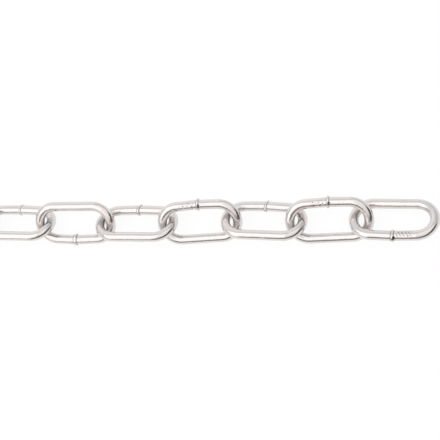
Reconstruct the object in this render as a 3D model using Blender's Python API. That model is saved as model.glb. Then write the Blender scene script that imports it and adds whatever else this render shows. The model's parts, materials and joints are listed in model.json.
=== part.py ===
"""A straight, laid-out length of welded long-link steel chain, lying on a level floor.

Blender 4.5, metres, +Z up. The chain runs along X, and link_01 is its end at +X.
Each link is one piece of round wire, bent to a long oval and butt-welded in the middle of one long leg.
"""

import math
from typing import NamedTuple

import bpy
from mathutils import Matrix

# Stock: round wire bent to links, and sold by the metre
WIRE = 0.005
PITCH = 0.035
OUTER_WIDTH = 0.0237
SOLD_LENGTH = 1.0
LINK_COUNT = int(SOLD_LENGTH / PITCH)

# Shape of one link, about its own centre
END_RADIUS = (OUTER_WIDTH - WIRE) / 2
HALF_LEG = (PITCH + WIRE) / 2 - END_RADIUS
BEND_STEPS = 8

# Butt weld: the leg bows out a little to a raised ring of flash
WELD_BOW = 0.0004
FLASH_SWELL = 1.3
FLASH_HALF_CREST = 0.0004
FLASH_HALF_FOOT = 0.0009

# Section of the wire: a polygon whose flats lie on the real wire's surface
WIRE_SIDES = 12
FLAT_TO_CORNER = 1 / math.cos(math.pi / WIRE_SIDES)

ZINC_COLOUR = (0.62, 0.63, 0.65, 1.0)
ZINC_ROUGHNESS = 0.28


class Lie(NamedTuple):
    """How a link lies: distance on to the next centre, sideways drift, tilt and turn, and where its weld is."""

    spacing: float
    drift: float
    tilt_deg: float
    turn_deg: float
    weld_on_far_leg: bool


# The links that the photo shows, from the free end
LIES_IN_VIEW = (
    Lie(0.0321, 0.0, 23.5, -1.5, False),
    Lie(0.0334, -0.0002, 31.5, 2.0, True),
    Lie(0.0338, -0.0001, 29.5, -3.0, True),
    Lie(0.0341, -0.0001, 35.0, 3.0, True),
    Lie(0.0342, -0.0007, 32.5, -1.0, True),
    Lie(0.0342, 0.0002, 34.0, -0.5, False),
    Lie(0.0337, 0.0006, 32.5, -2.0, True),
)
FIRST_REPEATED = 3


def clear_scene():
    """Remove the objects that the file opens with."""
    for item in list(bpy.data.objects):
        bpy.data.objects.remove(item)


def make_zinc():
    """Make the material of the zinc-plated wire."""
    material = bpy.data.materials.new("zinc_plated_steel")
    material.use_nodes = True
    shader = material.node_tree.nodes["Principled BSDF"]
    shader.inputs["Base Color"].default_value = ZINC_COLOUR
    shader.inputs["Metallic"].default_value = 1.0
    shader.inputs["Roughness"].default_value = ZINC_ROUGHNESS
    return material


def lie_of(index):
    """Give a link's lie. Past the photo's edge, the lies of the last links in view repeat."""
    if index < len(LIES_IN_VIEW):
        return LIES_IN_VIEW[index]
    repeated = LIES_IN_VIEW[FIRST_REPEATED:]
    return repeated[(index - FIRST_REPEATED) % len(repeated)]


def far_leg_is_raised(index):
    """Tell which way a link tilts: neighbours lean opposite ways, so that each one passes through the next."""
    return index % 2 == 1


def weld_bow(along):
    """Give the outward bow of the welded leg at a place along it."""
    return WELD_BOW * (1 - abs(along) / HALF_LEG)


def bend_points(end):
    """List the centreline of one end bend, from leg to leg, as (x, y, size of the section)."""
    points = []
    for step in range(BEND_STEPS + 1):
        angle = math.pi * (step / BEND_STEPS - 0.5)
        x = end * (HALF_LEG + END_RADIUS * math.cos(angle))
        points.append((x, end * END_RADIUS * math.sin(angle), 1.0))
    return points


def flash_points(side):
    """List the centreline through the weld flash, in the sense in which the wire runs on that leg."""
    stations = (
        (FLASH_HALF_FOOT, 1.0),
        (FLASH_HALF_CREST, FLASH_SWELL),
        (-FLASH_HALF_CREST, FLASH_SWELL),
        (-FLASH_HALF_FOOT, 1.0),
    )
    return [
        (side * along, side * (END_RADIUS + weld_bow(along)), size)
        for along, size in stations
    ]


def link_points(weld_on_far_leg):
    """List the closed centreline of a link, anticlockwise from the near leg's right end."""
    far_flash = flash_points(1) if weld_on_far_leg else []
    near_flash = [] if weld_on_far_leg else flash_points(-1)
    return bend_points(1) + far_flash + bend_points(-1) + near_flash


def make_link_curve(name, lie, far_raised):
    """Make a link's wire as a closed curve, with one flat of the section facing the floor on the low leg."""
    curve = bpy.data.curves.new(name, "CURVE")
    curve.dimensions = "3D"
    curve.bevel_depth = WIRE / 2 * FLAT_TO_CORNER
    curve.bevel_resolution = (WIRE_SIDES - 4) // 2
    points = link_points(lie.weld_on_far_leg)
    spline = curve.splines.new("POLY")
    spline.points.add(len(points) - 1)
    spline.use_cyclic_u = True
    low_leg_sense = 1 if far_raised else -1
    section_turn = math.radians(-lie.tilt_deg) if far_raised else math.radians(lie.tilt_deg)
    for point, (x, y, size) in zip(spline.points, points):
        point.co = (x, y, 0, 1)
        point.radius = size
        point.tilt = low_leg_sense * section_turn + math.pi / WIRE_SIDES
    return curve


def height_of_centre(lie, far_raised):
    """Give the height at which the link's low leg, or the flash on it, just meets the floor."""
    rise = math.sin(math.radians(lie.tilt_deg))
    plain_leg = END_RADIUS * rise + WIRE / 2
    if lie.weld_on_far_leg == far_raised:
        return plain_leg
    bow = weld_bow(FLASH_HALF_CREST)
    flash = (END_RADIUS + bow) * rise + WIRE / 2 * FLASH_SWELL
    return max(plain_leg, flash)


def place_link(item, lie, along, far_raised):
    """Lay a link on the floor: lean it about its length, then turn it on the floor."""
    lean = math.radians(lie.tilt_deg if far_raised else -lie.tilt_deg)
    turn = Matrix.Rotation(math.radians(lie.turn_deg), 4, "Z")
    place = Matrix.Translation((along, lie.drift, height_of_centre(lie, far_raised)))
    item.matrix_world = place @ turn @ Matrix.Rotation(lean, 4, "X")


def make_links(collection, material):
    """Make every link, from the free end at +X towards -X."""
    along = 0.0
    links = []
    for index in range(LINK_COUNT):
        lie = lie_of(index)
        far_raised = far_leg_is_raised(index)
        name = f"link_{index + 1:02d}"
        curve = make_link_curve(name, lie, far_raised)
        curve.materials.append(material)
        item = bpy.data.objects.new(name, curve)
        collection.objects.link(item)
        place_link(item, lie, along, far_raised)
        links.append(item)
        along -= lie.spacing
    return links


def corners_in_world(item, depsgraph):
    """List the places of an object's evaluated vertices."""
    mesh = item.evaluated_get(depsgraph).to_mesh()
    return [item.matrix_world @ vertex.co for vertex in mesh.vertices]


def centre_on_origin(links):
    """Move the chain along the floor so that the middle of its box is at the origin."""
    depsgraph = bpy.context.evaluated_depsgraph_get()
    corners = [corner for item in links for corner in corners_in_world(item, depsgraph)]
    for axis in (0, 1):
        places = [corner[axis] for corner in corners]
        middle = (min(places) + max(places)) / 2
        for item in links:
            item.location[axis] -= middle


def main():
    """Build the chain."""
    clear_scene()
    collection = bpy.data.collections.new("long_link_chain")
    bpy.context.scene.collection.children.link(collection)
    links = make_links(collection, make_zinc())
    centre_on_origin(links)


main()
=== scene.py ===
"""Looks of a laid-out length of welded long-link steel chain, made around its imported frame.

Every link is one bright zinc-plated wire, bent to a long oval and butt-welded in the middle of one long leg.
A Geometry Nodes tree sweeps the wire round its oval, raises the weld flash and presses the welder's clamp
marks beside it. The link's place is read from the frame, and the finished wire replaces the link's CAD node.
"""

import json
import logging
import math
from dataclasses import dataclass, field
from enum import Enum
from functools import reduce
from typing import NamedTuple

import bpy
import numpy as np
from mathutils import Matrix, Vector

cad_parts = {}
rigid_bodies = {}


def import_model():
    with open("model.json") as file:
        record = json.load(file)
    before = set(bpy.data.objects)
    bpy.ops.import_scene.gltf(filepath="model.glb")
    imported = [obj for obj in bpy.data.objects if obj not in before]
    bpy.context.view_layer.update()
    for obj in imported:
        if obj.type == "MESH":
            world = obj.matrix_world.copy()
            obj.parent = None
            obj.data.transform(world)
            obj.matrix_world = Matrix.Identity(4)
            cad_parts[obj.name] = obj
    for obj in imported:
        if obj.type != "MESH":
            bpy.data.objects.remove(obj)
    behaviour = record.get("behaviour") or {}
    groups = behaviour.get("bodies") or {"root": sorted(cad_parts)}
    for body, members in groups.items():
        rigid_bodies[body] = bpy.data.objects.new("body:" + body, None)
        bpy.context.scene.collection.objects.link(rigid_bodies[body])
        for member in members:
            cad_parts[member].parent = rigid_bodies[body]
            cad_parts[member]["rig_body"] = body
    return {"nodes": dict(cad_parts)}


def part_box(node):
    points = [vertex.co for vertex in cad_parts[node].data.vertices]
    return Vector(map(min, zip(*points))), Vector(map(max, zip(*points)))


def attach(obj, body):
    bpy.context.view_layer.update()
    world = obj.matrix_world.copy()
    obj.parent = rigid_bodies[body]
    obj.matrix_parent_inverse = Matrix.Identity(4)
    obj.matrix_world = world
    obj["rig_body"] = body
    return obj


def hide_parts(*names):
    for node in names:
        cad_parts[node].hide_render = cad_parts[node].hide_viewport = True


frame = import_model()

logging.basicConfig(level=logging.INFO, format="%(message)s")
log = logging.getLogger("chain")

MM = 0.001
FULL_TURN = 2 * math.pi
MIDDLE_LINK = "link_04"

Socket = bpy.types.NodeSocket
Term = Socket | float
Given = bpy.types.NodeOutputs
Colour = tuple[float, float, float]
Span = tuple[float, float]


class Stretch(Enum):
    """The stretches that a link's wire is made of. A half link is one bend and one leg."""

    BEND = 0
    LEG = 1


class Half(Enum):
    """The two halves of a link, which are half a turn apart. Only the first half's leg is welded."""

    WELDED = 1
    PLAIN = -1


class Stored(Enum):
    """The values that the link tree stores on the wire's surface. The finish reads the last three."""

    IS_LEG = "is_leg"
    HALF = "half"
    TURN = "turn"
    SKIN = "skin"
    # The next two are shares of painted shade; the first also holds the real wear inside the bends.
    WEAR_AND_SHADE = "wear_and_shade"
    PIT_SHADE = "pit_shade"


class NodeBench:
    """Adds nodes to a tree and wires them, so that a rule reads like the formula it is."""

    ROW_LENGTH = 24
    NODE_WIDTH = 180
    ROW_HEIGHT = 260
    NUMBER_MIX = (0, 2, 3)
    COLOUR_MIX = (0, 6, 7)
    COLOUR_MIX_RESULT = 2

    def __init__(self, tree: bpy.types.NodeTree) -> None:
        """Start on an empty tree.

        Args:
            tree: The node tree that the nodes go in.
        """
        self.tree = tree
        self.count = 0

    def add(self, kind: str, inputs: dict | None = None, **settings: object) -> bpy.types.Node:
        """Add one node.

        Args:
            kind: The node's type name.
            inputs: Values or sockets by input name or number.
            settings: Properties of the node.

        Returns:
            The new node.
        """
        node = self.tree.nodes.new(kind)
        self.count += 1
        row, column = divmod(self.count, self.ROW_LENGTH)
        node.location = (column * self.NODE_WIDTH, -row * self.ROW_HEIGHT)
        for name, value in settings.items():
            setattr(node, name, value)
        for name, value in (inputs or {}).items():
            self.feed(node.inputs[name], value)
        return node

    def feed(self, socket: Socket, value: object) -> None:
        """Link a socket to an input, or set the input to a plain value.

        Args:
            socket: The input.
            value: The socket or plain value that it gets.
        """
        if isinstance(value, Socket):
            self.tree.links.new(value, socket)
        else:
            socket.default_value = value

    def calc(self, operation: str, *terms: Term) -> Socket:
        """Work out one step of a formula with a Math node."""
        return self.add("ShaderNodeMath", dict(enumerate(terms)), operation=operation).outputs[0]

    def times(self, *terms: Term) -> Socket:
        """Multiply the terms, from the left."""
        return reduce(lambda product, term: self.calc("MULTIPLY", product, term), terms)

    def plus(self, *terms: Term) -> Socket:
        """Add the terms up, from the left."""
        return reduce(lambda total, term: self.calc("ADD", total, term), terms)

    def minus(self, whole: Term, part: Term) -> Socket:
        """Take a part from a whole."""
        return self.calc("SUBTRACT", whole, part)

    def times_plus(self, term: Term, factor: Term, more: Term) -> Socket:
        """Multiply a term by a factor and add some more."""
        return self.calc("MULTIPLY_ADD", term, factor, more)

    def magnitude(self, term: Term) -> Socket:
        """Drop a term's sign."""
        return self.calc("ABSOLUTE", term)

    def vector(self, x: Term, y: Term, z: Term) -> Socket:
        """Join three numbers into a vector."""
        return self.add("ShaderNodeCombineXYZ", {0: x, 1: y, 2: z}).outputs[0]

    def vector_calc(self, operation: str, *terms: object, result: str = "Vector") -> Socket:
        """Work out one step of a formula on vectors, which gives a vector or a value."""
        node = self.add("ShaderNodeVectorMath", dict(enumerate(terms)), operation=operation)
        return node.outputs[result]

    def ramp(self, value: Term, span: Span, results: Span = (0.0, 1.0)) -> Socket:
        """Map a value smoothly from one range to another.

        Args:
            value: The number or socket to map.
            span: Where the change starts and ends.
            results: What is given up to its start, and from its end on.

        Returns:
            The mapped value's socket.
        """
        limits = {"From Min": span[0], "From Max": span[1], "To Min": results[0], "To Max": results[1]}
        node = self.add("ShaderNodeMapRange", {"Value": value, **limits}, interpolation_type="SMOOTHSTEP")
        return node.outputs["Result"]

    def noise(self, place: Socket, scale: float, detail: float) -> Socket:
        """Read a smooth noise, from 0 to 1, at a place."""
        node = self.add("ShaderNodeTexNoise", {"Vector": place, "Scale": scale, "Detail": detail})
        return node.outputs["Fac"]

    def mix(self, share: Term, first: Term, second: Term) -> Socket:
        """Mix two numbers by the second one's share. A share of 0 or 1 picks one of them.

        Args:
            share: The second number's share, from 0 to 1.
            first: The number at 0.
            second: The number at 1.

        Returns:
            The mixed number.
        """
        node = self.add("ShaderNodeMix", data_type="FLOAT")
        for number, value in zip(self.NUMBER_MIX, (share, first, second)):
            self.feed(node.inputs[number], value)
        return node.outputs[0]

    def blend(self, share: Term, first: Socket | Colour, second: Socket | Colour) -> Socket:
        """Blend two colours, given as sockets or as red, green and blue.

        Args:
            share: The second colour's share, from 0 to 1.
            first: The colour at 0.
            second: The colour at 1.

        Returns:
            The blended colour.
        """
        node = self.add("ShaderNodeMix", data_type="RGBA")
        for number, value in zip(self.COLOUR_MIX, (share, first, second)):
            self.feed(node.inputs[number], (*value, 1.0) if isinstance(value, tuple) else value)
        return node.outputs[self.COLOUR_MIX_RESULT]

    def store(
        self, geometry: Socket, name: str, value: object, data_type: str = "FLOAT", domain: str = "POINT"
    ) -> Socket:
        """Store a named value on a geometry.

        Args:
            geometry: The geometry's socket.
            name: The value's name.
            value: A number or socket.
            data_type: Its type.
            domain: Where it lives.

        Returns:
            The geometry with the value on it.
        """
        node = self.add("GeometryNodeStoreNamedAttribute", data_type=data_type, domain=domain)
        for title, content in (("Name", name), ("Geometry", geometry), ("Value", value)):
            self.feed(node.inputs[title], content)
        return node.outputs["Geometry"]

    def read(self, stored: Stored, data_type: str = "FLOAT") -> Socket:
        """Read a value that is stored on the geometry."""
        node = self.add("GeometryNodeInputNamedAttribute", {"Name": stored.value}, data_type=data_type)
        return node.outputs["Attribute"]


@dataclass(frozen=True)
class ZincPlate:
    """Bright zinc plating on drawn wire.

    The plate is faintly blue in places and faintly warm in others, with the wire's own die lines under it.
    The weld's flash and the clamp marks are duller. The clamp marks and the ring's feet are darkened with
    painted shade, the insides of the bends by real wear, and a small pit beside some rings is painted dark as
    its shade.

    Attributes:
        metallic: The mirroring share. The rest is the plating's soft pale bloom.
        uneven_gloss: How far the grain changes the roughness.
        streaked_gloss: How far the die lines change it.
        tint_span: The noise values between which cool turns to warm.
        grain_span: The noise values between which the tint fades.
        scuff_span: The noise values between which a scuff starts.
        scuff_patch_span: The noise values between which a scuffed patch starts.
        scuff_stretch: How finely scuffs follow each other along the wire.
        scuff_scale: How finely they do round it.
        die_line_stretch: How finely die lines change along the wire.
        die_line_scale: How finely they follow each other round it.
    """

    name: str = "bright_zinc_plate"
    metallic: float = 0.84
    colour: Colour = (0.735, 0.706, 0.693)
    cool_colour: Colour = (0.71, 0.69, 0.698)
    warm_colour: Colour = (0.765, 0.718, 0.688)
    # painted shade for the clamp marks and the ring's feet, and real wear inside the bends
    wear_and_shade_colour: Colour = (0.25, 0.21, 0.205)
    # painted shade, nearly black, for the pit beside some weld rings
    pit_shade_colour: Colour = (0.06, 0.045, 0.042)
    roughness: float = 0.09
    worn_roughness: float = 0.3
    pit_roughness: float = 0.45
    uneven_gloss: float = 0.16
    streaked_gloss: float = 0.06
    ripple_height: float = 0.045 * MM
    grain_height: float = 0.012 * MM
    die_line_height: float = 0.003 * MM
    tint_scale: float = 110.0
    tint_span: Span = (0.35, 0.65)
    grain_scale: float = 1400.0
    grain_span: Span = (0.3, 0.7)
    ripple_scale: float = 420.0
    scuff_scale: float = 26.0
    scuff_stretch: float = 900.0
    scuff_span: Span = (0.57, 0.7)
    scuff_patch_scale: float = 220.0
    scuff_patch_span: Span = (0.45, 0.65)
    die_line_scale: float = 14.0
    die_line_stretch: float = 25.0

    def make(self) -> bpy.types.Material:
        """Build the material.

        Returns:
            The zinc-plate material.
        """
        material = bpy.data.materials.new(self.name)
        material.use_nodes = True
        bench = NodeBench(material.node_tree)
        shader = material.node_tree.nodes["Principled BSDF"]
        place = bench.add("ShaderNodeTexCoord").outputs["Object"]
        wear_and_shade = self.read(bench, Stored.WEAR_AND_SHADE, "Fac")
        pit_shade = self.read(bench, Stored.PIT_SHADE, "Fac")
        grain = bench.noise(place, self.grain_scale, 4.0)
        lines = self.add_streaks(bench, self.die_line_stretch, self.die_line_scale, 3.0)
        normal = self.add_bump(bench, bench.noise(place, self.ripple_scale, 1.0), self.ripple_height, None)
        normal = self.add_bump(bench, grain, self.grain_height, normal)
        normal = self.add_bump(bench, lines, self.die_line_height, normal)
        dull = bench.calc("MAXIMUM", wear_and_shade, self.add_scuffs(bench, place))
        shader.inputs["Metallic"].default_value = self.metallic
        bench.feed(shader.inputs["Base Color"], self.add_colour(bench, place, grain, wear_and_shade, pit_shade))
        bench.feed(shader.inputs["Roughness"], self.add_roughness(bench, grain, lines, dull, pit_shade))
        bench.feed(shader.inputs["Normal"], normal)
        return material

    @staticmethod
    def read(bench: NodeBench, stored: Stored, result: str) -> Socket:
        """Read a value that the link tree has stored."""
        return bench.add("ShaderNodeAttribute", attribute_name=stored.value).outputs[result]

    @staticmethod
    def add_bump(bench: NodeBench, height: Socket, distance: float, under: Socket | None) -> Socket:
        """Raise the surface by a height, on top of the bumps under it.

        Args:
            bench: The bench of the material.
            height: The height's pattern, from 0 to 1.
            distance: How high a full height stands.
            under: The normal of the bumps under it, or nothing.

        Returns:
            The bumped normal.
        """
        bump = bench.add("ShaderNodeBump", {"Strength": 1.0, "Distance": distance, "Height": height})
        if under is not None:
            bench.feed(bump.inputs["Normal"], under)
        return bump.outputs["Normal"]

    def add_streaks(self, bench: NodeBench, along: float, around: float, detail: float) -> Socket:
        """Make streaks that follow the wire.

        Args:
            bench: The bench of the material.
            along: How finely they follow each other along the wire.
            around: How finely they do round it.
            detail: How much finer detail they have.

        Returns:
            The streaks' pattern, from 0 to 1.
        """
        skin = self.read(bench, Stored.SKIN, "Vector")
        return bench.noise(bench.vector_calc("MULTIPLY", skin, (along, around, around)), 1.0, detail)

    def add_scuffs(self, bench: NodeBench, place: Socket) -> Socket:
        """Make the fine short scuffs that handling leaves, in loose patches along the wire.

        Args:
            bench: The bench of the material.
            place: The point's place on the object.

        Returns:
            The scuffed share.
        """
        strokes = self.add_streaks(bench, self.scuff_stretch, self.scuff_scale, 2.0)
        patches = bench.noise(place, self.scuff_patch_scale, 2.0)
        return bench.times(bench.ramp(strokes, self.scuff_span), bench.ramp(patches, self.scuff_patch_span))

    def add_colour(
        self, bench: NodeBench, place: Socket, grain: Socket, wear_and_shade: Socket, pit_shade: Socket
    ) -> Socket:
        """Tint the plate cooler and warmer in broad patches, darken what is worn, and paint shade on the
        clamp marks, the ring's feet and the pit beside the ring.

        Args:
            bench: The bench of the material.
            place: The point's place on the object.
            grain: The plating's grain.
            wear_and_shade: The share of real wear and painted shade.
            pit_shade: The pit's share of painted shade.

        Returns:
            The base colour.
        """
        patches = bench.ramp(bench.noise(place, self.tint_scale, 1.0), self.tint_span)
        tint = bench.blend(patches, self.cool_colour, self.warm_colour)
        plate = bench.blend(bench.ramp(grain, self.grain_span), tint, self.colour)
        # painted shade on the clamp marks and the ring's feet, with the real wear inside the bends
        plate = bench.blend(wear_and_shade, plate, self.wear_and_shade_colour)
        # painted shade in the pit beside the ring
        return bench.blend(pit_shade, plate, self.pit_shade_colour)

    def add_roughness(
        self, bench: NodeBench, grain: Socket, lines: Socket, dull: Socket, pit_shade: Socket
    ) -> Socket:
        """Make the gloss uneven, duller where it is worn, marked or scuffed, and dullest in the pit beside
        the ring.

        Args:
            bench: The bench of the material.
            grain: The plating's grain.
            lines: The die lines.
            dull: The share that is worn, marked or scuffed.
            pit_shade: The pit's share.

        Returns:
            The roughness.
        """
        uneven = bench.times(bench.minus(grain, 0.5), self.uneven_gloss)
        streaked = bench.times(bench.minus(lines, 0.5), self.streaked_gloss)
        base = bench.ramp(dull, (0.0, 1.0), (self.roughness, self.worn_roughness))
        shaded = bench.times(pit_shade, self.pit_roughness - self.roughness)
        return bench.plus(base, uneven, streaked, shaded)


class LinkLie(NamedTuple):
    """Where the frame holds a link: its place, and whether its weld is on the near leg."""

    place: Matrix
    weld_is_near: bool


@dataclass(frozen=True)
class LinkLook:
    """What sets one link's weld apart. Right is towards the free end, and the ring leans with its far side.

    Attributes:
        shift: How far the weld sits off the leg's middle, to the right.
        ring: Half the width of the flash ring's crest.
        lean: How far the ring's far side is to the right of its axis.
        feet_shade: How dark the ring's two feet are painted, as shade.
        left_marks: How deep the clamp bit left of the weld.
        right_marks: How deep it bit right of the weld.
        toothed: How far the bites are a toothed clamp's chevrons rather than specks.
        shade_pit: How dark the pit beside the ring is painted, as its shade.
        pit_turn_deg: Where that pit is round the wire.
    """

    shift: float = 0.0
    ring: float = 0.3 * MM
    lean: float = 0.1 * MM
    # painted shade at the ring's feet
    feet_shade: float = 0.8
    left_marks: float = 0.1
    right_marks: float = 0.1
    toothed: float = 0.0
    # painted shade in the pit beside the ring
    shade_pit: float = 0.0
    pit_turn_deg: float = 85.0


class SkinPoint(NamedTuple):
    """A point of a link's surface: how far it is from the weld along the leg, and how far round the wire."""

    from_weld: Socket
    turn: Socket


@dataclass(frozen=True)
class WeldRing:
    """The ring of flash round a butt weld: ragged, and highest at its two fins in the plane of the link.

    Attributes:
        height: How high the highest flash stands.
        flank: The width of each of its two slopes.
        fin_share: The share of the height that only the fins have.
        fin_sharpness: How narrow the fins are.
        ragged_share: The least and the most of the height that the ring has all round.
        ragged_scale: How finely that share changes.
        ragged_span: The noise values between which it changes.
    """

    height: float = 0.8 * MM
    flank: float = 0.32 * MM
    fin_share: float = 0.6
    fin_sharpness: float = 3.0
    ragged_share: Span = (0.2, 0.4)
    ragged_scale: float = 1.4
    ragged_span: Span = (0.25, 0.75)

    def off_middle(self, bench: NodeBench, given: Given, point: SkinPoint) -> Socket:
        """Work out how far a point is from the middle of the leaning ring."""
        lean = bench.times(bench.calc("COSINE", point.turn), given["Ring Lean"])
        return bench.magnitude(bench.minus(point.from_weld, lean))

    def raise_flash(self, bench: NodeBench, given: Given, point: SkinPoint) -> Socket:
        """Raise the ring.

        Args:
            bench: The bench of the link tree.
            given: The tree's inputs.
            point: The point of the surface.

        Returns:
            The ring's height, as a share of the highest.
        """
        off_crest = bench.minus(self.off_middle(bench, given, point), given["Ring Half Width"])
        ridge = bench.ramp(bench.calc("DIVIDE", off_crest, given["Ring Flank"]), (0.0, 1.0), (1.0, 0.0))
        across, up = bench.calc("COSINE", point.turn), bench.calc("SINE", point.turn)
        ragged = bench.noise(bench.vector(across, up, given["Seed"]), self.ragged_scale, 2.0)
        fins = bench.calc("POWER", bench.magnitude(across), self.fin_sharpness)
        all_round = bench.ramp(ragged, self.ragged_span, self.ragged_share)
        return bench.times(ridge, bench.times_plus(fins, self.fin_share, all_round))

    def shade_feet(self, bench: NodeBench, given: Given, point: SkinPoint) -> Socket:
        """Darken the ring's two feet with painted shade.

        Args:
            bench: The bench of the link tree.
            given: The tree's inputs.
            point: The point of the surface.

        Returns:
            The share of painted shade.
        """
        foot = bench.plus(given["Ring Half Width"], self.flank)
        off_foot = bench.magnitude(bench.minus(self.off_middle(bench, given, point), foot))
        # painted shade at the ring's two feet
        return bench.times(bench.ramp(off_foot, (0.0, self.flank), (1.0, 0.0)), given["Feet Shade"])


@dataclass(frozen=True)
class ClampMarks:
    """What the welder's clamps pressed into the wire on either side of a weld. The finish also darkens these
    marks with painted shade.

    Attributes:
        depth: How deep the deepest mark is.
        start: The distances from the weld between which the marks begin.
        end: The distances between which they end.
        face_lean: How far round from the top the bitten face's middle lies, as a cosine.
        face_span: How far round from there the bites fade.
        bite_scale: How finely the bites follow each other.
        speck_span: The noise values between which a speck starts.
        tooth_pitch: The distance from one tooth of a toothed clamp to the next.
        tooth_slant: How far a tooth's mark slants into a chevron, in tooth pitches.
        tooth_span: The sine values between which a tooth's mark starts.
        gap_span: The noise values between which a tooth has bitten.
        least_bite: What the shallowest tooth's mark has of its depth.
    """

    depth: float = 0.16 * MM
    start: Span = (1.4 * MM, 2.4 * MM)
    end: Span = (8.5 * MM, 10.5 * MM)
    face_lean: float = 0.2
    face_span: Span = (0.35, 0.7)
    bite_scale: float = 3.4
    speck_span: Span = (0.5, 0.66)
    tooth_pitch: float = 1.7 * MM
    tooth_slant: float = 1.3
    tooth_span: Span = (0.0, 0.9)
    gap_span: Span = (0.35, 0.5)
    least_bite: float = 0.2

    def bite(self, bench: NodeBench, given: Given, point: SkinPoint, skin_place: Socket) -> Socket:
        """Press the marks in, on the upper and the under side.

        Args:
            bench: The bench of the link tree.
            given: The tree's inputs.
            point: The point of the surface.
            skin_place: Its place on the wire's skin, in wire radii.

        Returns:
            The depth of the marks, as a share of the deepest.
        """
        reach = bench.magnitude(point.from_weld)
        zone = bench.times(bench.ramp(reach, self.start), bench.ramp(reach, self.end, (1.0, 0.0)))
        across = bench.calc("COSINE", point.turn)
        off_face = bench.magnitude(bench.minus(across, self.face_lean))
        face = bench.ramp(off_face, self.face_span, (1.0, 0.0))
        on_right = bench.calc("GREATER_THAN", point.from_weld, 0.0)
        depth = bench.mix(on_right, given["Left Marks"], given["Right Marks"])
        bites = bench.noise(skin_place, self.bite_scale, 2.0)
        specks = bench.ramp(bites, self.speck_span)
        slant = bench.times(bench.magnitude(across), self.tooth_slant)
        row = bench.times_plus(point.from_weld, 1.0 / self.tooth_pitch, slant)
        teeth = bench.ramp(bench.calc("SINE", bench.times(row, FULL_TURN)), self.tooth_span)
        teeth = bench.times(teeth, bench.ramp(bites, self.gap_span, (self.least_bite, 1.0)))
        # the finish darkens these marks with painted shade
        return bench.times(zone, face, depth, bench.mix(given["Toothed"], specks, teeth))


@dataclass(frozen=True)
class ShadedPit:
    """The small pit that some welds have beside their ring, with its shade painted dark.

    Attributes:
        radius: How far along the wire the spot reaches.
        core: The share of the radius that is painted fully dark.
        squeeze: What a distance round the wire counts, of one along it.
        pit: How deep the spot is sunk into the wire.
    """

    radius: float = 1.0 * MM
    core: float = 0.45
    squeeze: float = 0.8
    pit: float = 0.1 * MM

    def shade_pit(self, bench: NodeBench, given: Given, point: SkinPoint, wire_radius: float) -> Socket:
        """Paint the pit's shade.

        Args:
            bench: The bench of the link tree.
            given: The tree's inputs.
            point: The point of the surface.
            wire_radius: Half the wire's thickness.

        Returns:
            The share of painted shade.
        """
        beside = bench.minus(point.from_weld, given["Pit Offset"])
        turned = bench.minus(point.turn, given["Pit Turn"])
        reach = wire_radius * self.squeeze
        round_way = bench.times(bench.calc("SINE", turned), reach)
        behind = bench.times(bench.minus(1.0, bench.calc("COSINE", turned)), reach)
        distance = bench.vector_calc("LENGTH", bench.vector(beside, round_way, behind), result="Value")
        spot = bench.ramp(distance, (self.radius * self.core, self.radius), (1.0, 0.0))
        # painted shade in the pit
        return bench.times(spot, given["Pit Shade"])


@dataclass(frozen=True)
class DrawnWire:
    """The drawn and bent wire that a link is made of, with what breaks up its long reflections.

    Attributes:
        thickness: The wire's diameter.
        sway: How far its radius wanders over a broad stretch.
        sway_scale: How finely that changes.
        ripple: How far it wanders over a short one.
        ripple_scale: How finely that changes.
        rub: How dull the next link has rubbed the inside of a bend, at most.
        rub_round: Where round the wire, as a cosine, the rub fades.
        rub_scale: How finely it changes.
        rub_span: The noise values between which it changes.
        least_rub: What the least rubbed spot has of it.
    """

    thickness: float = 5.0 * MM
    sway: float = 0.09 * MM
    sway_scale: float = 180.0
    ripple: float = 0.02 * MM
    ripple_scale: float = 480.0
    rub: float = 0.4
    rub_round: Span = (-0.95, -0.5)
    rub_scale: float = 900.0
    rub_span: Span = (0.35, 0.65)
    least_rub: float = 0.2

    @property
    def radius(self) -> float:
        """Half the wire's thickness."""
        return self.thickness / 2

    def straightened(self, bench: NodeBench, given: Given) -> Socket:
        """Lay the wire out straight, in metres, as the place that its irregularities are read from."""
        straight = bench.vector_calc(
            "MULTIPLY", bench.read(Stored.SKIN, "FLOAT_VECTOR"), (1.0, self.radius, self.radius)
        )
        return bench.vector_calc("ADD", straight, bench.vector(given["Seed"], 0.0, 0.0))

    def wander(self, bench: NodeBench, given: Given) -> Socket:
        """Work out how far the wire's surface wanders from a true round.

        Args:
            bench: The bench of the link tree.
            given: The tree's inputs.

        Returns:
            What the radius has more or less.
        """
        place = self.straightened(bench, given)
        broad = bench.noise(place, self.sway_scale, 0.0)
        close = bench.noise(place, self.ripple_scale, 0.0)
        sway = bench.times(bench.minus(broad, 0.5), self.sway)
        return bench.plus(sway, bench.times(bench.minus(close, 0.5), self.ripple))

    def rub_inside(self, bench: NodeBench, given: Given, turn: Socket) -> Socket:
        """Work out where the inside of each bend is rubbed dull by the next link.

        Args:
            bench: The bench of the link tree.
            given: The tree's inputs.
            turn: A point's place round the wire.

        Returns:
            The rubbed share.
        """
        inside = bench.ramp(bench.calc("COSINE", turn), self.rub_round, (self.rub, 0.0))
        patchy = bench.noise(self.straightened(bench, given), self.rub_scale, 2.0)
        on_bend = bench.minus(1.0, bench.read(Stored.IS_LEG))
        return bench.times(inside, bench.ramp(patchy, self.rub_span, (self.least_rub, 1.0)), on_bend)


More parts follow.
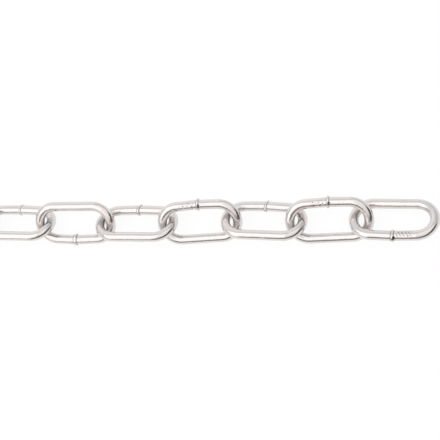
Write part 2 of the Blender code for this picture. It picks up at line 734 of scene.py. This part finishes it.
@dataclass
class WireLink:
    """The pattern that every link follows, as a Geometry Nodes tree, and the pieces made from it.

    Attributes:
        seam: Points nearer to each other than this are joined where two stretches meet.
        even_share: How far a leg's steps are even. The rest packs them towards its middle, round the weld.
        seed_step: How far apart two links' clamp marks are read from their noise.
    """

    pitch: float = 35.0 * MM
    outer_width: float = 23.7 * MM
    weld_bow: float = 0.4 * MM
    wire: DrawnWire = DrawnWire()
    ring: WeldRing = WeldRing()
    marks: ClampMarks = ClampMarks()
    spot: ShadedPit = ShadedPit()
    round_steps: int = 40
    bend_steps: int = 48
    leg_steps: int = 120
    even_share: float = 0.4
    seam: float = 0.002 * MM
    seed_step: float = 7.0
    tree: bpy.types.NodeTree | None = field(default=None, init=False)

    @property
    def end_radius(self) -> float:
        """Radius of the bend's centreline."""
        return (self.outer_width - self.wire.thickness) / 2

    @property
    def half_leg(self) -> float:
        """Half the straight length of a leg."""
        return (self.pitch + self.wire.thickness) / 2 - self.end_radius

    def shared_sizes(self) -> dict[str, float]:
        """List the tree's inputs that are the same for every link."""
        return {
            "Wire Radius": self.wire.radius,
            "End Radius": self.end_radius,
            "Half Leg": self.half_leg,
            "Weld Bow": self.weld_bow,
            "Ring Height": self.ring.height,
            "Ring Flank": self.ring.flank,
        }

    def own_sizes(self, look: LinkLook, weld_is_near: bool, seed: int) -> dict[str, float]:
        """List the tree's inputs that set one link apart. A link with a near weld is turned round afterwards.

        Args:
            look: What its weld looks like.
            weld_is_near: Whether its weld is on the near leg.
            seed: Seed of its small irregularities.

        Returns:
            The values by input name.
        """
        side = -1.0 if weld_is_near else 1.0
        left, right = look.left_marks, look.right_marks
        if weld_is_near:
            left, right = right, left
        return {
            "Weld Shift": look.shift * side,
            "Ring Half Width": look.ring,
            "Ring Lean": look.lean,
            "Feet Shade": look.feet_shade,
            "Left Marks": left,
            "Right Marks": right,
            "Toothed": look.toothed,
            "Pit Shade": look.shade_pit,
            "Pit Offset": (look.ring + self.ring.flank) * side,
            "Pit Turn": math.radians(look.pit_turn_deg),
            "Seed": float(seed),
        }

    def add_inputs(self, tree: bpy.types.NodeTree) -> None:
        """Name the tree's inputs, with the pattern's own sizes as their defaults.

        Args:
            tree: The link tree.
        """
        for name, size in (self.shared_sizes() | self.own_sizes(LinkLook(), False, 0)).items():
            socket = tree.interface.new_socket(name, in_out="INPUT", socket_type="NodeSocketFloat")
            socket.default_value = size
        tree.interface.new_socket("Finish", in_out="INPUT", socket_type="NodeSocketMaterial")
        tree.interface.new_socket("Geometry", in_out="OUTPUT", socket_type="NodeSocketGeometry")

    def build_tree(self) -> bpy.types.NodeTree:
        """Build the tree that every link is made with.

        Returns:
            The link tree.
        """
        tree = bpy.data.node_groups.new("wire_link", "GeometryNodeTree")
        self.add_inputs(tree)
        bench = NodeBench(tree)
        given = bench.add("NodeGroupInput").outputs
        strips = bench.add("GeometryNodeJoinGeometry")
        for half in Half:
            for stretch in Stretch:
                bench.feed(strips.inputs[0], self.add_strip(bench, stretch, half))
        rolled = self.roll(bench, given, strips.outputs[0])
        closed = bench.add("GeometryNodeMergeByDistance", {"Geometry": rolled, "Distance": self.seam})
        smooth = bench.add("GeometryNodeSetShadeSmooth", {"Geometry": closed.outputs[0]})
        real = bench.add("GeometryNodeRealizeInstances", {"Geometry": smooth.outputs[0]})
        finish = {"Geometry": real.outputs[0], "Material": given["Finish"]}
        dressed = bench.add("GeometryNodeSetMaterial", finish)
        bench.add("NodeGroupOutput", {"Geometry": dressed.outputs[0]})
        return tree

    def add_strip(self, bench: NodeBench, stretch: Stretch, half: Half) -> Socket:
        """Add the flat square grid that one stretch of wire is rolled from, with its place on the link on it.

        Args:
            bench: The bench of the link tree.
            stretch: Bend or leg.
            half: Which half of the link it is on.

        Returns:
            The grid's geometry socket.
        """
        steps = self.leg_steps if stretch is Stretch.LEG else self.bend_steps
        counts = {"Vertices X": steps + 1, "Vertices Y": self.round_steps + 1}
        grid = bench.add("GeometryNodeMeshGrid", {"Size X": 1.0, "Size Y": 1.0, **counts})
        strip = bench.store(grid.outputs["Mesh"], "UVMap", grid.outputs["UV Map"], "FLOAT2", "CORNER")
        strip = bench.store(strip, Stored.IS_LEG.value, float(stretch.value))
        return bench.store(strip, Stored.HALF.value, float(half.value))

    def roll(self, bench: NodeBench, given: Given, strips: Socket) -> Socket:
        """Roll the strips into wire along the link's oval, and store on it what the finish reads.

        Args:
            bench: The bench of the link tree.
            given: The tree's inputs.
            strips: The geometry of the flat strips.

        Returns:
            The geometry of the rolled wire.
        """
        position = bench.add("GeometryNodeInputPosition").outputs[0]
        on_strip = bench.add("ShaderNodeSeparateXYZ", {0: position}).outputs
        along = bench.plus(on_strip["X"], 0.5)
        angle = bench.times(bench.plus(on_strip["Y"], 0.5), FULL_TURN)
        skin = bench.store(strips, Stored.TURN.value, angle)
        turn = bench.read(Stored.TURN)
        across, up = bench.calc("COSINE", turn), bench.calc("SINE", turn)
        centre_x, centre_y, out_x, out_y = self.add_route(bench, given, along)
        unrolled = bench.vector(self.add_length(bench, given, along, centre_x), across, up)
        skin = bench.store(skin, Stored.SKIN.value, unrolled, "FLOAT_VECTOR")
        radius, wear_and_shade, pit_shade = self.add_surface(bench, given, centre_x)
        # the shares of painted shade, with the real wear, go on the surface for the finish
        skin = bench.store(skin, Stored.WEAR_AND_SHADE.value, wear_and_shade)
        skin = bench.store(skin, Stored.PIT_SHADE.value, pit_shade)
        outward = bench.times(radius, across)
        half = bench.read(Stored.HALF)
        x = bench.times(bench.times_plus(out_x, outward, centre_x), half)
        y = bench.times(bench.times_plus(out_y, outward, centre_y), half)
        place = bench.vector(x, y, bench.times(radius, up))
        return bench.add("GeometryNodeSetPosition", {"Geometry": skin, "Position": place}).outputs[0]

    def add_route(
        self, bench: NodeBench, given: Given, along: Socket
    ) -> tuple[Socket, Socket, Socket, Socket]:
        """Work out the wire's centreline on one half of the link, and the way out of the oval.

        Args:
            bench: The bench of the link tree.
            given: The tree's inputs.
            along: How far along its stretch a point is, from 0 to 1.

        Returns:
            The centre's x and y, and the outward direction's x and y.
        """
        is_leg = bench.read(Stored.IS_LEG)
        welded = bench.calc("GREATER_THAN", bench.read(Stored.HALF), 0.0)
        swing = bench.times(bench.minus(along, 0.5), math.pi)
        swing_x, swing_y = bench.calc("COSINE", swing), bench.calc("SINE", swing)
        bend_x = bench.times_plus(swing_x, given["End Radius"], given["Half Leg"])
        bend_y = bench.times(swing_y, given["End Radius"])
        even = bench.times_plus(along, -2.0, 1.0)
        cube = bench.times(bench.calc("POWER", bench.magnitude(even), 3.0), bench.calc("SIGN", even))
        spaced = bench.plus(bench.times(even, self.even_share), bench.times(cube, 1.0 - self.even_share))
        leg_x = bench.times(spaced, given["Half Leg"])
        bow = bench.times(bench.minus(1.0, bench.magnitude(spaced)), given["Weld Bow"])
        leg_y = bench.times_plus(bow, welded, given["End Radius"])
        return (
            bench.mix(is_leg, bend_x, leg_x),
            bench.mix(is_leg, bend_y, leg_y),
            bench.mix(is_leg, swing_x, 0.0),
            bench.mix(is_leg, swing_y, 1.0),
        )

    def add_length(self, bench: NodeBench, given: Given, along: Socket, centre_x: Socket) -> Socket:
        """Work out how much wire lies between the weld and a point, once round the link.

        Args:
            bench: The bench of the link tree.
            given: The tree's inputs.
            along: How far along its stretch a point is, from 0 to 1.
            centre_x: The centreline's x on this half.

        Returns:
            The length of wire from the weld.
        """
        bend = bench.times(given["End Radius"], math.pi)
        half_way = bench.plus(bend, bench.times(given["Half Leg"], 2.0))
        round_bend = bench.times_plus(along, bend, given["Half Leg"])
        round_leg = bench.minus(0.0, centre_x)
        from_half = bench.mix(bench.read(Stored.IS_LEG), round_bend, round_leg)
        is_plain = bench.calc("LESS_THAN", bench.read(Stored.HALF), 0.0)
        on_bend = bench.minus(1.0, bench.read(Stored.IS_LEG))
        late = bench.magnitude(bench.minus(is_plain, on_bend))
        once_round = bench.times(half_way, 2.0)
        return bench.calc("WRAP", bench.times_plus(late, half_way, from_half), once_round, 0.0)

    def add_surface(self, bench: NodeBench, given: Given, centre_x: Socket) -> tuple[Socket, Socket, Socket]:
        """Work out the wire's radius everywhere, with the flash ring, the clamp marks and the pit beside the
        ring.

        Args:
            bench: The bench of the link tree.
            given: The tree's inputs.
            centre_x: A point's distance along the leg from its middle.

        Returns:
            The radius, and two shares from 0 to 1: real wear with painted shade, and the pit's painted shade.
        """
        welded_half = bench.calc("GREATER_THAN", bench.read(Stored.HALF), 0.0)
        on_welded = bench.times(bench.read(Stored.IS_LEG), welded_half)
        turn = bench.read(Stored.TURN)
        point = SkinPoint(bench.minus(centre_x, given["Weld Shift"]), turn)
        skin_place = bench.vector(
            bench.calc("DIVIDE", centre_x, given["Wire Radius"]),
            bench.calc("COSINE", turn),
            bench.plus(bench.calc("SINE", turn), bench.times(given["Seed"], self.seed_step)),
        )
        ring = bench.times(self.ring.raise_flash(bench, given, point), on_welded)
        shaded = bench.times(self.ring.shade_feet(bench, given, point), on_welded)
        marks = bench.times(self.marks.bite(bench, given, point, skin_place), on_welded)
        spot = bench.times(self.spot.shade_pit(bench, given, point, self.wire.radius), on_welded)
        radius = bench.plus(given["Wire Radius"], self.wire.wander(bench, given))
        radius = bench.times_plus(ring, given["Ring Height"], radius)
        radius = bench.times_plus(marks, -self.marks.depth, radius)
        radius = bench.times_plus(spot, -self.spot.pit, radius)
        # the ring's feet and the clamp marks get painted shade; the insides of the bends get real wear
        feet_and_marks_shade = bench.calc("MAXIMUM", shaded, marks)
        return radius, bench.calc("MAXIMUM", feet_and_marks_shade, self.wire.rub_inside(bench, given, turn)), spot

    def set_input(self, modifier: bpy.types.Modifier, name: str, value: object) -> None:
        """Set one of the modifier's inputs by its socket's identifier."""
        socket = next(s for s in self.tree.interface.items_tree if s.name == name and s.in_out == "INPUT")
        modifier[socket.identifier] = value

    def build(
        self, name: str, lie: LinkLie, look: LinkLook, seed: int, finish: bpy.types.Material
    ) -> bpy.types.Object:
        """Make one link where the frame holds it.

        Args:
            name: The new piece's name.
            lie: The link's place in the frame.
            look: What its weld looks like.
            seed: Seed of its small irregularities.
            finish: The zinc-plate material.

        Returns:
            The link as a plain mesh object at the origin.
        """
        if self.tree is None:
            self.tree = self.build_tree()
        raw = bpy.data.objects.new(f"raw_{name}", bpy.data.meshes.new(f"raw_{name}"))
        bpy.context.scene.collection.objects.link(raw)
        modifier = raw.modifiers.new("wire_link", "NODES")
        modifier.node_group = self.tree
        for title, size in self.own_sizes(look, lie.weld_is_near, seed).items():
            self.set_input(modifier, title, size)
        self.set_input(modifier, "Finish", finish)
        depsgraph = bpy.context.evaluated_depsgraph_get()
        mesh = bpy.data.meshes.new_from_object(raw.evaluated_get(depsgraph))
        bpy.data.objects.remove(raw)
        mesh.name = name
        turned = Matrix.Rotation(math.pi, 4, "Z") if lie.weld_is_near else Matrix.Identity(4)
        mesh.transform(lie.place @ turned)
        piece = bpy.data.objects.new(name, mesh)
        bpy.context.scene.collection.objects.link(piece)
        return piece


@dataclass
class Chain:
    """The whole length: one wire link for every link in the frame.

    Attributes:
        pattern: The pattern of its links.
        looks_in_view: The welds' looks from the free end, as far as the photo shows. Past that they repeat.
        bend_slack: How far before the end of its legs a link's bend is taken to begin.
        weld_reach: How far from the middle of its leg a link's weld surely lies.
    """

    pattern: WireLink = field(default_factory=WireLink)
    looks_in_view: tuple[LinkLook, ...] = (
        LinkLook(
            ring=0.45 * MM,
            feet_shade=1.0,
            left_marks=0.15,
            right_marks=0.85,
            toothed=1.0,
            shade_pit=1.0,
            pit_turn_deg=31.0,
        ),
        LinkLook(shift=0.5 * MM, ring=0.35 * MM, lean=0.15 * MM, feet_shade=0.7, left_marks=0.8, shade_pit=0.8),
        LinkLook(lean=0.5 * MM, feet_shade=0.6),
        LinkLook(shift=0.8 * MM, ring=0.35 * MM, left_marks=1.0, shade_pit=0.9),
        LinkLook(shift=-0.3 * MM, ring=0.35 * MM, lean=0.6 * MM, feet_shade=0.9),
        LinkLook(shift=-1.1 * MM, ring=0.6 * MM, feet_shade=1.0, right_marks=0.3),
        LinkLook(shift=0.2 * MM, lean=0.5 * MM, feet_shade=0.3, left_marks=0.3),
    )
    bend_slack: float = 0.1 * MM
    weld_reach: float = 2.0 * MM

    def read_lie(self, node: bpy.types.Object) -> LinkLie:
        """Read a link's place from its CAD mesh, by the mesh's own long, wide and thin directions.

        Args:
            node: The link's CAD object.

        Returns:
            The link's lie.
        """
        points = np.array([vertex.co for vertex in node.data.vertices])
        points = np.unique(points.round(6), axis=0)
        spread = np.cov((points - points.mean(0)).T)
        axes = np.linalg.eigh(spread)[1][:, ::-1].T
        long_way = axes[0] * np.sign(axes[0][0])
        thin_way = axes[2] * np.sign(axes[2][2])
        wide_way = np.cross(thin_way, long_way)
        along = points @ long_way
        middle = (along.min() + along.max()) / 2
        bends = points[np.abs(along - middle) > self.pattern.half_leg - self.bend_slack]
        centre = bends.mean(0)
        weld = points[np.abs((points - centre) @ long_way) < self.weld_reach]
        place = Matrix([*zip(long_way, wide_way, thin_way, centre), (0, 0, 0, 1)])
        return LinkLie(place, bool(((weld - centre) @ wide_way).mean() < 0))

    def build(self) -> list[bpy.types.Object]:
        """Make every link and let it replace its CAD node.

        Returns:
            The links, from the free end.
        """
        finish = ZincPlate().make()
        pieces = []
        for index, node in enumerate(sorted(frame["nodes"])):
            lie = self.read_lie(frame["nodes"][node])
            look = self.looks_in_view[index % len(self.looks_in_view)]
            piece = self.pattern.build(f"wire_{node}", lie, look, index + 1, finish)
            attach(piece, frame["nodes"][node]["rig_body"])
            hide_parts(node)
            log.info("%s: %d faces", piece.name, len(piece.data.polygons))
            pieces.append(piece)
        return pieces


@dataclass(frozen=True)
class Softbox:
    """A rectangular softbox that faces the links in view, or hangs flat over them.

    Attributes:
        place: Its place, from the middle of the links in view.
        brightness: How much brighter it is than the room behind it.
        flat: Whether it hangs level.
    """

    name: str
    place: tuple[float, float, float]
    size: tuple[float, float]
    brightness: float
    flat: bool = True

    def hang(self, over: Vector) -> bpy.types.Object:
        """Hang the softbox.

        Args:
            over: The middle of the links in view.

        Returns:
            The light.
        """
        data = bpy.data.lights.new(self.name, "AREA")
        data.shape = "RECTANGLE"
        data.size, data.size_y = self.size
        data.energy = self.brightness * math.pi * data.size * data.size_y
        light = bpy.data.objects.new(self.name, data)
        light.location = over + Vector(self.place)
        if not self.flat:
            light.rotation_euler = (-Vector(self.place)).to_track_quat("-Z", "Y").to_euler()
        bpy.context.scene.collection.objects.link(light)
        return light


SOFTBOXES = (
    Softbox("key_softbox", (-0.74, -0.51, 1.2), (1.76, 1.82), 0.76),
    Softbox("fill_softbox", (0.79, -0.06, 1.2), (1.3, 2.04), 0.43),
    Softbox("side_softbox", (-0.7, -0.78, 0.58), (0.95, 0.5), 0.55, flat=False),
)


def add_towards(bench: NodeBench, direction: Socket, side_deg: float) -> Socket:
    """Work out how far a direction points to one side of the room, from -1 to 1.

    Args:
        bench: The bench of the world.
        direction: The direction looked in.
        side_deg: The side, in degrees anticlockwise from +X.

    Returns:
        The cosine of the angle between the two.
    """
    turn = math.radians(side_deg)
    way = (math.cos(turn), math.sin(turn), 0.0)
    return bench.vector_calc("DOT_PRODUCT", direction, way, result="Value")


@dataclass(frozen=True)
class DarkArea:
    """A darker area of the room's walls, with soft edges.

    Attributes:
        side_deg: The side of the room that its middle is on.
        reach_deg: Half its width.
        height: How far up its middle is, as a sine.
        tone: What is left of the wall's tone.
        soft_deg: Half the width of its left and right edges.
        half_height: Half its height.
        soft_height: Half the height of its upper and lower edges.
    """

    side_deg: float
    reach_deg: float
    height: float
    tone: float
    soft_deg: float = 9.0
    half_height: float = 0.27
    soft_height: float = 0.07

    def add(self, bench: NodeBench, flat_way: Socket, height: Socket) -> Socket:
        """Add the dark area to the room.

        Args:
            bench: The bench of the world.
            flat_way: The direction looked in, laid flat.
            height: How far up it points.

        Returns:
            What the wall's tone is multiplied by.
        """
        outer, inner = (math.radians(self.reach_deg + side * self.soft_deg) for side in (1, -1))
        across = bench.ramp(add_towards(bench, flat_way, self.side_deg), (math.cos(outer), math.cos(inner)))
        off_middle = bench.magnitude(bench.minus(height, self.height))
        edge = (self.half_height - self.soft_height, self.half_height + self.soft_height)
        inside = bench.times(across, bench.ramp(off_middle, edge, (1.0, 0.0)))
        return bench.times_plus(inside, self.tone - 1.0, 1.0)


@dataclass(frozen=True)
class Room:
    """The room round the table: pale walls, brighter behind, dim in front and unlit in front to the right.

    Attributes:
        wall_tone: The walls' tone half way between their bright and dark sides.
        swing: How much brighter the bright side is.
        bright_side_deg: Where the bright side is, in degrees anticlockwise from +X.
        ceiling_share: What the ceiling has of the walls' tone.
        ceiling_span: How far up, as a sine, the walls turn to ceiling.
        tint_span: How far towards the bright side the light's colour changes.
    """

    wall_tone: float = 0.85
    swing: float = 0.2
    bright_side_deg: float = 120.0
    ceiling_share: float = 0.85
    ceiling_span: Span = (0.35, 0.7)
    dark_areas: tuple[DarkArea, ...] = (
        DarkArea(338.0, 43.0, 0.34, 0.02),
        DarkArea(271.0, 25.0, 0.31, 0.3),
        DarkArea(62.0, 30.0, 0.3, 0.7),
        DarkArea(195.0, 42.0, 0.15, 0.8),
    )
    bright_colour: Colour = (1.0, 1.0, 1.01)
    dark_colour: Colour = (1.04, 0.98, 0.94)
    tint_span: Span = (-0.6, 0.7)

    def light(self) -> bpy.types.World:
        """Make the world that stands for the room.

        Returns:
            The world.
        """
        world = bpy.data.worlds.new("room")
        world.use_nodes = True
        bench = NodeBench(world.node_tree)
        background = world.node_tree.nodes["Background"]
        direction = bench.add("ShaderNodeTexCoord").outputs["Generated"]
        flat_way = bench.vector_calc("NORMALIZE", bench.vector_calc("MULTIPLY", direction, (1.0, 1.0, 0.0)))
        height = bench.add("ShaderNodeSeparateXYZ", {0: direction}).outputs["Z"]
        towards = add_towards(bench, direction, self.bright_side_deg)
        tone = bench.times_plus(towards, self.swing, self.wall_tone)
        tone = bench.times(tone, bench.ramp(height, self.ceiling_span, (1.0, self.ceiling_share)))
        for area in self.dark_areas:
            tone = bench.times(tone, area.add(bench, flat_way, height))
        bench.feed(background.inputs["Strength"], tone)
        tint = bench.blend(bench.ramp(towards, self.tint_span), self.dark_colour, self.bright_colour)
        bench.feed(background.inputs["Color"], tint)
        bpy.context.scene.world = world
        return world


@dataclass(frozen=True)
class LightTable:
    """The white table that the chain lies on, lit from below so that no shadow shows on it."""

    size: float = 30.0
    drop: float = 0.02 * MM
    glow: float = 0.91
    whiteness: float = 0.1
    roughness: float = 0.9

    def lay(self) -> bpy.types.Object:
        """Lay the table's top under the chain.

        Returns:
            The table's top.
        """
        half = self.size / 2
        mesh = bpy.data.meshes.new("light_table")
        corners = [(-half, -half, 0), (half, -half, 0), (half, half, 0), (-half, half, 0)]
        mesh.from_pydata(corners, [], [(0, 1, 2, 3)])
        mesh.materials.append(self.make_acrylic())
        table = bpy.data.objects.new("light_table", mesh)
        table.location.z = -self.drop
        bpy.context.scene.collection.objects.link(table)
        return table

    def make_acrylic(self) -> bpy.types.Material:
        """Make the lit white acrylic.

        Returns:
            The material.
        """
        material = bpy.data.materials.new("lit_acrylic")
        material.use_nodes = True
        inputs = material.node_tree.nodes["Principled BSDF"].inputs
        inputs["Base Color"].default_value = (self.whiteness, self.whiteness, self.whiteness, 1.0)
        inputs["Roughness"].default_value = self.roughness
        inputs["Specular IOR Level"].default_value = 0.0
        inputs["Emission Color"].default_value = (1.0, 1.0, 1.0, 1.0)
        inputs["Emission Strength"].default_value = self.glow
        return material


@dataclass(frozen=True)
class PhotoCamera:
    """The camera that the photo was taken from, placed by the link in the middle of the photo.

    Attributes:
        image_px: The photo's width.
        focal_px: The distance from the lens to a picture of that width.
        swing_deg: How far the camera looks from the right.
        height_deg: How far up over the front it stands.
        roll_deg: How far it is turned about its own line of sight.
        distance: How far it is from the point that it was aimed at.
        aim_from_link: That point on the table, from the link's middle.
        side_step: The step to the right and up, in the picture's plane, that it took after it was aimed.
    """

    image_px: int = 440
    focal_px: float = 1166.0
    sensor_mm: float = 36.0
    swing_deg: float = 15.33
    height_deg: float = 79.13
    roll_deg: float = -0.84
    distance: float = 604.5 * MM
    aim_from_link: tuple[float, float] = (8.595 * MM, 0.1 * MM)
    side_step: tuple[float, float] = (0.05 * MM, 1.87 * MM)
    nearest: float = 0.01
    farthest: float = 100.0

    def directions(self) -> tuple[Vector, Vector, Vector]:
        """Work out the camera's own directions.

        Returns:
            The picture's right and up, and the way back from it.
        """
        swing, height, roll = (math.radians(a) for a in (self.swing_deg, self.height_deg, self.roll_deg))
        front, rise = math.cos(swing) * math.cos(height), math.cos(swing) * math.sin(height)
        back = Vector((math.sin(swing), -front, rise))
        right = (Vector((1, 0, 0)) - back * back.x).normalized()
        up = back.cross(right)
        rolled_right = right * math.cos(roll) + up * math.sin(roll)
        return rolled_right, up * math.cos(roll) - right * math.sin(roll), back

    def build(self, link: str) -> bpy.types.Object:
        """Make the scene's camera.

        Args:
            link: The CAD node that the camera is placed by.

        Returns:
            The camera.
        """
        low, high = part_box(link)
        middle = (low + high) / 2
        aim = Vector((middle.x + self.aim_from_link[0], middle.y + self.aim_from_link[1], 0.0))
        right, up, back = self.directions()
        place = aim + back * self.distance + right * self.side_step[0] + up * self.side_step[1]
        data = bpy.data.cameras.new("photo_camera")
        data.sensor_width = self.sensor_mm
        data.lens = self.focal_px / self.image_px * self.sensor_mm
        data.clip_start, data.clip_end = self.nearest, self.farthest
        camera = bpy.data.objects.new("photo_camera", data)
        camera.matrix_world = Matrix([*zip(right, up, back, place), (0, 0, 0, 1)])
        bpy.context.scene.collection.objects.link(camera)
        bpy.context.scene.camera = camera
        return camera


def main() -> None:
    """Build the chain, the studio and the camera, in that order."""
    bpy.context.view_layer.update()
    links = Chain().build()
    log.info("chain: %d links", len(links))
    middle = sum(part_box(MIDDLE_LINK), Vector()) / 2
    studio = [LightTable().lay(), Room().light()]
    studio += [softbox.hang(middle) for softbox in SOFTBOXES]
    studio.append(PhotoCamera().build(MIDDLE_LINK))
    for item in studio:
        log.info("studio: %s", item.name)
    bpy.context.scene.view_settings.view_transform = "Standard"


if __name__ == "__main__":
    main()
